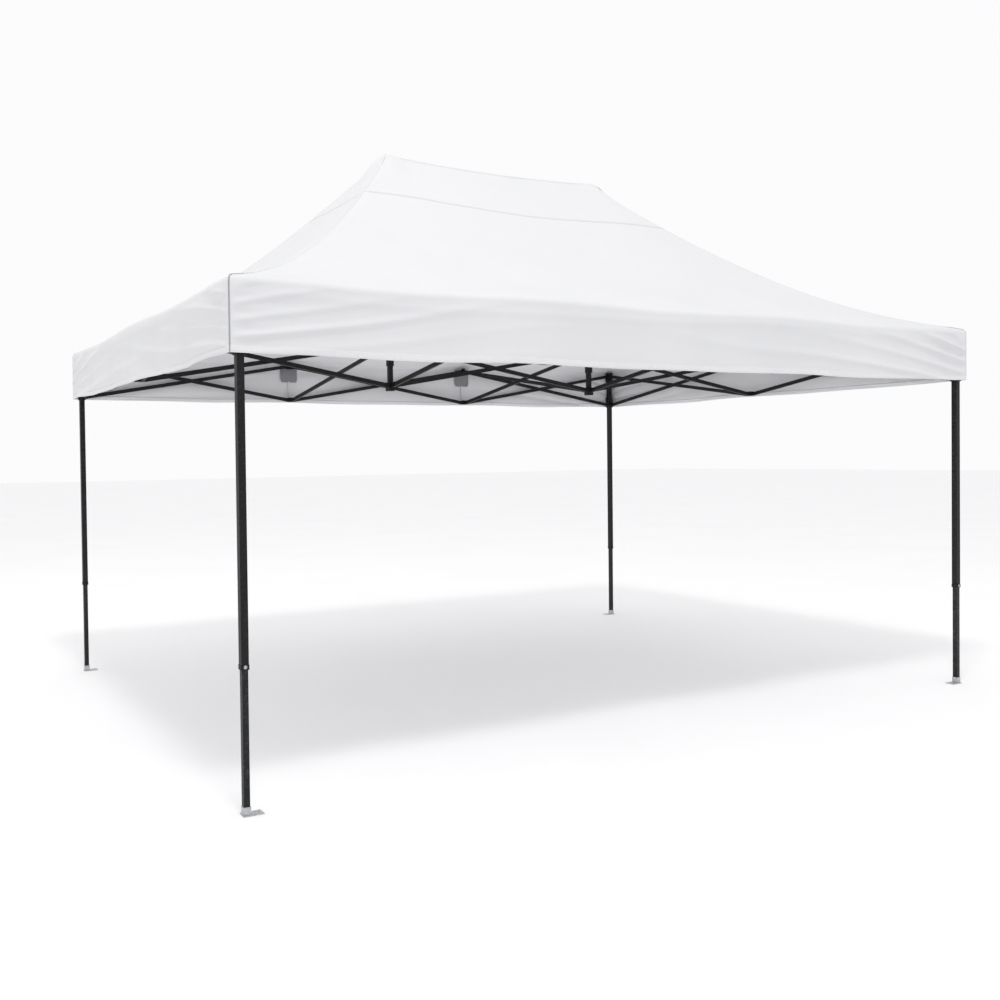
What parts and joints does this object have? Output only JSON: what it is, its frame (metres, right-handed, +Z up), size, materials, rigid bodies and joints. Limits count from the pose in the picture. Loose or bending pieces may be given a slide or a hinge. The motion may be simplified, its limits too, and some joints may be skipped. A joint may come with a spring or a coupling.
{
  "type": "pop up gazebo",
  "caption": "Folding gazebo: square telescopic legs and a steel scissor frame with two crown poles carry a hipped white fabric canopy with a valance.",
  "frame": {"origin": "on the ground under the middle of the canopy", "axes": "+X along the long side to the right, -Y is the front, +Z up"},
  "size_m": [4.5, 3, 3.1],
  "materials": {
    "frame_metal": "matte black powder coat",
    "joint_plastic": "moulded black nylon, fine grain",
    "inner_tube": "black powder coat with pale galvanised foot plate",
    "canopy_fabric": "coated white polyester, plain weave, sewn seams"
  },
  "bodies": {
    "leg_front_left": {"leg_front_left": "frame_metal"},
    "leg_front_right": {"leg_front_right": "frame_metal"},
    "leg_back_left": {"leg_back_left": "frame_metal"},
    "leg_back_right": {"leg_back_right": "frame_metal"},
    "slider_front_left": {"slider_front_left": "joint_plastic"},
    "slider_front_right": {"slider_front_right": "joint_plastic"},
    "slider_back_left": {"slider_back_left": "joint_plastic"},
    "slider_back_right": {"slider_back_right": "joint_plastic"},
    "lower_leg_front_left": {"lower_leg_front_left": "inner_tube"},
    "lower_leg_front_right": {"lower_leg_front_right": "inner_tube"},
    "lower_leg_back_left": {"lower_leg_back_left": "inner_tube"},
    "lower_leg_back_right": {"lower_leg_back_right": "inner_tube"},
    "top_joint_front_left_mid": {"top_joint_front_left_mid": "joint_plastic"},
    "top_joint_front_right_mid": {"top_joint_front_right_mid": "joint_plastic"},
    "top_joint_back_left_mid": {"top_joint_back_left_mid": "joint_plastic"},
    "top_joint_back_right_mid": {"top_joint_back_right_mid": "joint_plastic"},
    "top_joint_left_mid": {"top_joint_left_mid": "joint_plastic"},
    "top_joint_right_mid": {"top_joint_right_mid": "joint_plastic"},
    "bottom_joint_front_left_mid": {"bottom_joint_front_left_mid": "joint_plastic"},
    "bottom_joint_front_right_mid": {"bottom_joint_front_right_mid": "joint_plastic"},
    "bottom_joint_back_left_mid": {"bottom_joint_back_left_mid": "joint_plastic"},
    "bottom_joint_back_right_mid": {"bottom_joint_back_right_mid": "joint_plastic"},
    "bottom_joint_left_mid": {"bottom_joint_left_mid": "joint_plastic"},
    "bottom_joint_right_mid": {"bottom_joint_right_mid": "joint_plastic"},
    "crown_hub_left": {"crown_hub_left": "joint_plastic", "canopy": "canopy_fabric", "ridge_truss_left": "frame_metal", "ridge_truss_centre": "frame_metal"},
    "crown_hub_right": {"crown_hub_right": "joint_plastic", "ridge_truss_right": "frame_metal"},
    "crown_pole_left": {"crown_pole_left": "frame_metal"},
    "crown_pole_right": {"crown_pole_right": "frame_metal"},
    "bar_front_left_falling": {"bar_front_left_falling": "frame_metal"},
    "bar_front_centre_falling": {"bar_front_centre_falling": "frame_metal"},
    "bar_front_right_falling": {"bar_front_right_falling": "frame_metal"},
    "bar_back_left_falling": {"bar_back_left_falling": "frame_metal"},
    "bar_back_centre_falling": {"bar_back_centre_falling": "frame_metal"},
    "bar_back_right_falling": {"bar_back_right_falling": "frame_metal"},
    "bar_left_front_falling": {"bar_left_front_falling": "frame_metal"},
    "bar_left_back_falling": {"bar_left_back_falling": "frame_metal"},
    "bar_inner_left_front_falling": {"bar_inner_left_front_falling": "frame_metal"},
    "bar_inner_left_back_falling": {"bar_inner_left_back_falling": "frame_metal"},
    "bar_inner_right_front_falling": {"bar_inner_right_front_falling": "frame_metal"},
    "bar_inner_right_back_falling": {"bar_inner_right_back_falling": "frame_metal"},
    "bar_right_front_falling": {"bar_right_front_falling": "frame_metal"},
    "bar_right_back_falling": {"bar_right_back_falling": "frame_metal"},
    "bar_front_left_rising": {"bar_front_left_rising": "frame_metal"},
    "bar_front_centre_rising": {"bar_front_centre_rising": "frame_metal"},
    "bar_front_right_rising": {"bar_front_right_rising": "frame_metal"},
    "bar_back_left_rising": {"bar_back_left_rising": "frame_metal"},
    "bar_back_centre_rising": {"bar_back_centre_rising": "frame_metal"},
    "bar_back_right_rising": {"bar_back_right_rising": "frame_metal"},
    "bar_left_front_rising": {"bar_left_front_rising": "frame_metal"},
    "bar_left_back_rising": {"bar_left_back_rising": "frame_metal"},
    "bar_inner_left_front_rising": {"bar_inner_left_front_rising": "frame_metal"},
    "bar_inner_left_back_rising": {"bar_inner_left_back_rising": "frame_metal"},
    "bar_inner_right_front_rising": {"bar_inner_right_front_rising": "frame_metal"},
    "bar_inner_right_back_rising": {"bar_inner_right_back_rising": "frame_metal"},
    "bar_right_front_rising": {"bar_right_front_rising": "frame_metal"},
    "bar_right_back_rising": {"bar_right_back_rising": "frame_metal"}
  },
  "joints": [
    {"name": "frame_fold", "type": "hinge", "parent": "crown_hub_left", "child": "bar_inner_left_front_rising", "pos_m": [-0.7325, -0.035, 2.01], "axis": [1, 0, 0], "range_deg": [0, 74], "deforming": ["canopy", "ridge_truss_left", "ridge_truss_centre", "ridge_truss_right"]},
    {"name": "bar_inner_left_front_falling_hinge", "type": "hinge", "parent": "bar_inner_left_front_rising", "child": "bar_inner_left_front_falling", "pos_m": [-0.7325, -0.7325, 1.8925], "axis": [1, 0, 0], "range_deg": [-148.5, 0]},
    {"name": "top_joint_front_left_mid_hinge", "type": "hinge", "parent": "bar_inner_left_front_falling", "child": "top_joint_front_left_mid", "pos_m": [-0.7325, -1.43, 2.01], "axis": [1, 0, 0], "range_deg": [0, 74.5]},
    {"name": "bottom_joint_front_left_mid_hinge", "type": "hinge", "parent": "bar_inner_left_front_rising", "child": "bottom_joint_front_left_mid", "pos_m": [-0.7325, -1.43, 1.775], "axis": [1, 0, 0], "range_deg": [-74.5, 0]},
    {"name": "crown_pole_left_hinge", "type": "hinge", "parent": "bar_inner_left_front_falling", "child": "crown_pole_left", "pos_m": [-0.7325, -0.035, 1.775], "axis": [1, 0, 0], "range_deg": [0, 74.5]},
    {"name": "bar_inner_left_back_falling_hinge", "type": "hinge", "parent": "crown_hub_left", "child": "bar_inner_left_back_falling", "pos_m": [-0.7325, 0.035, 2.01], "axis": [-1, 0, 0], "range_deg": [0, 74.5]},
    {"name": "bar_inner_left_back_rising_hinge", "type": "hinge", "parent": "bar_inner_left_back_falling", "child": "bar_inner_left_back_rising", "pos_m": [-0.7325, 0.7325, 1.8925], "axis": [-1, 0, 0], "range_deg": [-148.5, 0]},
    {"name": "top_joint_back_left_mid_hinge", "type": "hinge", "parent": "bar_inner_left_back_rising", "child": "top_joint_back_left_mid", "pos_m": [-0.7325, 1.43, 2.01], "axis": [-1, 0, 0], "range_deg": [0, 74.5]},
    {"name": "bottom_joint_back_left_mid_hinge", "type": "hinge", "parent": "bar_inner_left_back_falling", "child": "bottom_joint_back_left_mid", "pos_m": [-0.7325, 1.43, 1.775], "axis": [-1, 0, 0], "range_deg": [-74.5, 0]},
    {"name": "bar_front_left_rising_hinge", "type": "hinge", "parent": "top_joint_front_left_mid", "child": "bar_front_left_rising", "pos_m": [-0.7675, -1.465, 2.01], "axis": [0, -1, 0], "range_deg": [0, 74.5]},
    {"name": "bar_front_left_falling_hinge", "type": "hinge", "parent": "bar_front_left_rising", "child": "bar_front_left_falling", "pos_m": [-1.465, -1.465, 1.8925], "axis": [0, -1, 0], "range_deg": [-148.5, 0]},
    {"name": "leg_front_left_hinge", "type": "hinge", "parent": "bar_front_left_falling", "child": "leg_front_left", "pos_m": [-2.1625, -1.465, 2.01], "axis": [0, -1, 0], "range_deg": [0, 74.5]},
    {"name": "slider_front_left_hinge", "type": "hinge", "parent": "bar_front_left_rising", "child": "slider_front_left", "pos_m": [-2.1625, -1.465, 1.775], "axis": [0, -1, 0], "range_deg": [-74.5, 0]},
    {"name": "bar_front_centre_falling_hinge", "type": "hinge", "parent": "top_joint_front_left_mid", "child": "bar_front_centre_falling", "pos_m": [-0.6975, -1.465, 2.01], "axis": [0, 1, 0], "range_deg": [0, 74.5]},
    {"name": "bar_front_centre_rising_hinge", "type": "hinge", "parent": "bar_front_centre_falling", "child": "bar_front_centre_rising", "pos_m": [0, -1.465, 1.8925], "axis": [0, 1, 0], "range_deg": [-148.5, 0]},
    {"name": "top_joint_front_right_mid_hinge", "type": "hinge", "parent": "bar_front_centre_rising", "child": "top_joint_front_right_mid", "pos_m": [0.6975, -1.465, 2.01], "axis": [0, 1, 0], "range_deg": [0, 74.5]},
    {"name": "bottom_joint_front_right_mid_hinge", "type": "hinge", "parent": "bar_front_centre_falling", "child": "bottom_joint_front_right_mid", "pos_m": [0.6975, -1.465, 1.775], "axis": [0, 1, 0], "range_deg": [-74.5, 0]},
    {"name": "bar_front_right_falling_hinge", "type": "hinge", "parent": "top_joint_front_right_mid", "child": "bar_front_right_falling", "pos_m": [0.7675, -1.465, 2.01], "axis": [0, 1, 0], "range_deg": [0, 74.5]},
    {"name": "bar_front_right_rising_hinge", "type": "hinge", "parent": "bar_front_right_falling", "child": "bar_front_right_rising", "pos_m": [1.465, -1.465, 1.8925], "axis": [0, 1, 0], "range_deg": [-148.5, 0]},
    {"name": "leg_front_right_hinge", "type": "hinge", "parent": "bar_front_right_rising", "child": "leg_front_right", "pos_m": [2.1625, -1.465, 2.01], "axis": [0, 1, 0], "range_deg": [0, 74.5]},
    {"name": "slider_front_right_hinge", "type": "hinge", "parent": "bar_front_right_falling", "child": "slider_front_right", "pos_m": [2.1625, -1.465, 1.775], "axis": [0, 1, 0], "range_deg": [-74.5, 0]},
    {"name": "bar_back_left_rising_hinge", "type": "hinge", "parent": "top_joint_back_left_mid", "child": "bar_back_left_rising", "pos_m": [-0.7675, 1.465, 2.01], "axis": [0, -1, 0], "range_deg": [0, 74.5]},
    {"name": "bar_back_left_falling_hinge", "type": "hinge", "parent": "bar_back_left_rising", "child": "bar_back_left_falling", "pos_m": [-1.465, 1.465, 1.8925], "axis": [0, -1, 0], "range_deg": [-148.5, 0]},
    {"name": "leg_back_left_hinge", "type": "hinge", "parent": "bar_back_left_falling", "child": "leg_back_left", "pos_m": [-2.1625, 1.465, 2.01], "axis": [0, -1, 0], "range_deg": [0, 74.5]},
    {"name": "slider_back_left_hinge", "type": "hinge", "parent": "bar_back_left_rising", "child": "slider_back_left", "pos_m": [-2.1625, 1.465, 1.775], "axis": [0, -1, 0], "range_deg": [-74.5, 0]},
    {"name": "bar_back_centre_falling_hinge", "type": "hinge", "parent": "top_joint_back_left_mid", "child": "bar_back_centre_falling", "pos_m": [-0.6975, 1.465, 2.01], "axis": [0, 1, 0], "range_deg": [0, 74.5]},
    {"name": "bar_back_centre_rising_hinge", "type": "hinge", "parent": "bar_back_centre_falling", "child": "bar_back_centre_rising", "pos_m": [0, 1.465, 1.8925], "axis": [0, 1, 0], "range_deg": [-148.5, 0]},
    {"name": "top_joint_back_right_mid_hinge", "type": "hinge", "parent": "bar_back_centre_rising", "child": "top_joint_back_right_mid", "pos_m": [0.6975, 1.465, 2.01], "axis": [0, 1, 0], "range_deg": [0, 74.5]},
    {"name": "bottom_joint_back_right_mid_hinge", "type": "hinge", "parent": "bar_back_centre_falling", "child": "bottom_joint_back_right_mid", "pos_m": [0.6975, 1.465, 1.775], "axis": [0, 1, 0], "range_deg": [-74.5, 0]},
    {"name": "bar_back_right_falling_hinge", "type": "hinge", "parent": "top_joint_back_right_mid", "child": "bar_back_right_falling", "pos_m": [0.7675, 1.465, 2.01], "axis": [0, 1, 0], "range_deg": [0, 74.5]},
    {"name": "bar_back_right_rising_hinge", "type": "hinge", "parent": "bar_back_right_falling", "child": "bar_back_right_rising", "pos_m": [1.465, 1.465, 1.8925], "axis": [0, 1, 0], "range_deg": [-148.5, 0]},
    {"name": "leg_back_right_hinge", "type": "hinge", "parent": "bar_back_right_rising", "child": "leg_back_right", "pos_m": [2.1625, 1.465, 2.01], "axis": [0, 1, 0], "range_deg": [0, 74.5]},
    {"name": "slider_back_right_hinge", "type": "hinge", "parent": "bar_back_right_falling", "child": "slider_back_right", "pos_m": [2.1625, 1.465, 1.775], "axis": [0, 1, 0], "range_deg": [-74.5, 0]},
    {"name": "bar_left_front_falling_hinge", "type": "hinge", "parent": "leg_front_left", "child": "bar_left_front_falling", "pos_m": [-2.1975, -1.43, 2.01], "axis": [-1, 0, 0], "range_deg": [0, 74.5]},
    {"name": "bar_left_front_rising_hinge", "type": "hinge", "parent": "bar_left_front_falling", "child": "bar_left_front_rising", "pos_m": [-2.1975, -0.7325, 1.8925], "axis": [-1, 0, 0], "range_deg": [-148.5, 0]},
    {"name": "top_joint_left_mid_hinge", "type": "hinge", "parent": "bar_left_front_rising", "child": "top_joint_left_mid", "pos_m": [-2.1975, -0.035, 2.01], "axis": [-1, 0, 0], "range_deg": [0, 74.5]},
    {"name": "bottom_joint_left_mid_hinge", "type": "hinge", "parent": "bar_left_front_falling", "child": "bottom_joint_left_mid", "pos_m": [-2.1975, -0.035, 1.775], "axis": [-1, 0, 0], "range_deg": [-74.5, 0]},
    {"name": "bar_inner_right_front_falling_hinge", "type": "hinge", "parent": "top_joint_front_right_mid", "child": "bar_inner_right_front_falling", "pos_m": [0.7325, -1.43, 2.01], "axis": [-1, 0, 0], "range_deg": [0, 74.5]},
    {"name": "bar_inner_right_front_rising_hinge", "type": "hinge", "parent": "bar_inner_right_front_falling", "child": "bar_inner_right_front_rising", "pos_m": [0.7325, -0.7325, 1.8925], "axis": [-1, 0, 0], "range_deg": [-148.5, 0]},
    {"name": "crown_hub_right_hinge", "type": "hinge", "parent": "bar_inner_right_front_rising", "child": "crown_hub_right", "pos_m": [0.7325, -0.035, 2.01], "axis": [-1, 0, 0], "range_deg": [0, 74.5]},
    {"name": "crown_pole_right_hinge", "type": "hinge", "parent": "bar_inner_right_front_falling", "child": "crown_pole_right", "pos_m": [0.7325, -0.035, 1.775], "axis": [-1, 0, 0], "range_deg": [-74.5, 0]},
    {"name": "bar_right_front_falling_hinge", "type": "hinge", "parent": "leg_front_right", "child": "bar_right_front_falling", "pos_m": [2.1975, -1.43, 2.01], "axis": [-1, 0, 0], "range_deg": [0, 74.5]},
    {"name": "bar_right_front_rising_hinge", "type": "hinge", "parent": "bar_right_front_falling", "child": "bar_right_front_rising", "pos_m": [2.1975, -0.7325, 1.8925], "axis": [-1, 0, 0], "range_deg": [-148.5, 0]},
    {"name": "top_joint_right_mid_hinge", "type": "hinge", "parent": "bar_right_front_rising", "child": "top_joint_right_mid", "pos_m": [2.1975, -0.035, 2.01], "axis": [-1, 0, 0], "range_deg": [0, 74.5]},
    {"name": "bottom_joint_right_mid_hinge", "type": "hinge", "parent": "bar_right_front_falling", "child": "bottom_joint_right_mid", "pos_m": [2.1975, -0.035, 1.775], "axis": [-1, 0, 0], "range_deg": [-74.5, 0]},
    {"name": "bar_left_back_rising_hinge", "type": "hinge", "parent": "leg_back_left", "child": "bar_left_back_rising", "pos_m": [-2.1975, 1.43, 2.01], "axis": [1, 0, 0], "range_deg": [0, 74.5]},
    {"name": "bar_left_back_falling_hinge", "type": "hinge", "parent": "bar_left_back_rising", "child": "bar_left_back_falling", "pos_m": [-2.1975, 0.7325, 1.8925], "axis": [1, 0, 0], "range_deg": [-148.5, 0]},
    {"name": "bar_inner_right_back_rising_hinge", "type": "hinge", "parent": "top_joint_back_right_mid", "child": "bar_inner_right_back_rising", "pos_m": [0.7325, 1.43, 2.01], "axis": [1, 0, 0], "range_deg": [0, 74.5]},
    {"name": "bar_inner_right_back_falling_hinge", "type": "hinge", "parent": "bar_inner_right_back_rising", "child": "bar_inner_right_back_falling", "pos_m": [0.7325, 0.7325, 1.8925], "axis": [1, 0, 0], "range_deg": [-148.5, 0]},
    {"name": "bar_right_back_rising_hinge", "type": "hinge", "parent": "leg_back_right", "child": "bar_right_back_rising", "pos_m": [2.1975, 1.43, 2.01], "axis": [1, 0, 0], "range_deg": [0, 74.5]},
    {"name": "bar_right_back_falling_hinge", "type": "hinge", "parent": "bar_right_back_rising", "child": "bar_right_back_falling", "pos_m": [2.1975, 0.7325, 1.8925], "axis": [1, 0, 0], "range_deg": [-148.5, 0]},
    {"name": "lower_leg_front_left_extend", "type": "slide", "parent": "leg_front_left", "child": "lower_leg_front_left", "axis": [0, 0, 1], "range_m": [-0.12, 0.44]},
    {"name": "lower_leg_front_right_extend", "type": "slide", "parent": "leg_front_right", "child": "lower_leg_front_right", "axis": [0, 0, 1], "range_m": [-0.12, 0.44]},
    {"name": "lower_leg_back_left_extend", "type": "slide", "parent": "leg_back_left", "child": "lower_leg_back_left", "axis": [0, 0, 1], "range_m": [-0.12, 0.44]},
    {"name": "lower_leg_back_right_extend", "type": "slide", "parent": "leg_back_right", "child": "lower_leg_back_right", "axis": [0, 0, 1], "range_m": [-0.12, 0.44]}
  ],
  "couplings": [
    {"joint": "bar_inner_left_front_falling_hinge", "follows": "frame_fold", "ratio": -2},
    {"joint": "top_joint_front_left_mid_hinge", "follows": "frame_fold", "ratio": 1},
    {"joint": "bottom_joint_front_left_mid_hinge", "follows": "frame_fold", "ratio": -1},
    {"joint": "crown_pole_left_hinge", "follows": "frame_fold", "ratio": 1},
    {"joint": "bar_inner_left_back_falling_hinge", "follows": "frame_fold", "ratio": 1},
    {"joint": "bar_inner_left_back_rising_hinge", "follows": "frame_fold", "ratio": -2},
    {"joint": "top_joint_back_left_mid_hinge", "follows": "frame_fold", "ratio": 1},
    {"joint": "bottom_joint_back_left_mid_hinge", "follows": "frame_fold", "ratio": -1},
    {"joint": "bar_front_left_rising_hinge", "follows": "frame_fold", "ratio": 1},
    {"joint": "bar_front_left_falling_hinge", "follows": "frame_fold", "ratio": -2},
    {"joint": "leg_front_left_hinge", "follows": "frame_fold", "ratio": 1},
    {"joint": "slider_front_left_hinge", "follows": "frame_fold", "ratio": -1},
    {"joint": "bar_front_centre_falling_hinge", "follows": "frame_fold", "ratio": 1},
    {"joint": "bar_front_centre_rising_hinge", "follows": "frame_fold", "ratio": -2},
    {"joint": "top_joint_front_right_mid_hinge", "follows": "frame_fold", "ratio": 1},
    {"joint": "bottom_joint_front_right_mid_hinge", "follows": "frame_fold", "ratio": -1},
    {"joint": "bar_front_right_falling_hinge", "follows": "frame_fold", "ratio": 1},
    {"joint": "bar_front_right_rising_hinge", "follows": "frame_fold", "ratio": -2},
    {"joint": "leg_front_right_hinge", "follows": "frame_fold", "ratio": 1},
    {"joint": "slider_front_right_hinge", "follows": "frame_fold", "ratio": -1},
    {"joint": "bar_back_left_rising_hinge", "follows": "frame_fold", "ratio": 1},
    {"joint": "bar_back_left_falling_hinge", "follows": "frame_fold", "ratio": -2},
    {"joint": "leg_back_left_hinge", "follows": "frame_fold", "ratio": 1},
    {"joint": "slider_back_left_hinge", "follows": "frame_fold", "ratio": -1},
    {"joint": "bar_back_centre_falling_hinge", "follows": "frame_fold", "ratio": 1},
    {"joint": "bar_back_centre_rising_hinge", "follows": "frame_fold", "ratio": -2},
    {"joint": "top_joint_back_right_mid_hinge", "follows": "frame_fold", "ratio": 1},
    {"joint": "bottom_joint_back_right_mid_hinge", "follows": "frame_fold", "ratio": -1},
    {"joint": "bar_back_right_falling_hinge", "follows": "frame_fold", "ratio": 1},
    {"joint": "bar_back_right_rising_hinge", "follows": "frame_fold", "ratio": -2},
    {"joint": "leg_back_right_hinge", "follows": "frame_fold", "ratio": 1},
    {"joint": "slider_back_right_hinge", "follows": "frame_fold", "ratio": -1},
    {"joint": "bar_left_front_falling_hinge", "follows": "frame_fold", "ratio": 1},
    {"joint": "bar_left_front_rising_hinge", "follows": "frame_fold", "ratio": -2},
    {"joint": "top_joint_left_mid_hinge", "follows": "frame_fold", "ratio": 1},
    {"joint": "bottom_joint_left_mid_hinge", "follows": "frame_fold", "ratio": -1},
    {"joint": "bar_inner_right_front_falling_hinge", "follows": "frame_fold", "ratio": 1},
    {"joint": "bar_inner_right_front_rising_hinge", "follows": "frame_fold", "ratio": -2},
    {"joint": "crown_hub_right_hinge", "follows": "frame_fold", "ratio": 1},
    {"joint": "crown_pole_right_hinge", "follows": "frame_fold", "ratio": -1},
    {"joint": "bar_right_front_falling_hinge", "follows": "frame_fold", "ratio": 1},
    {"joint": "bar_right_front_rising_hinge", "follows": "frame_fold", "ratio": -2},
    {"joint": "top_joint_right_mid_hinge", "follows": "frame_fold", "ratio": 1},
    {"joint": "bottom_joint_right_mid_hinge", "follows": "frame_fold", "ratio": -1},
    {"joint": "bar_left_back_rising_hinge", "follows": "frame_fold", "ratio": 1},
    {"joint": "bar_left_back_falling_hinge", "follows": "frame_fold", "ratio": -2},
    {"joint": "bar_inner_right_back_rising_hinge", "follows": "frame_fold", "ratio": 1},
    {"joint": "bar_inner_right_back_falling_hinge", "follows": "frame_fold", "ratio": -2},
    {"joint": "bar_right_back_rising_hinge", "follows": "frame_fold", "ratio": 1},
    {"joint": "bar_right_back_falling_hinge", "follows": "frame_fold", "ratio": -2}
  ]
}
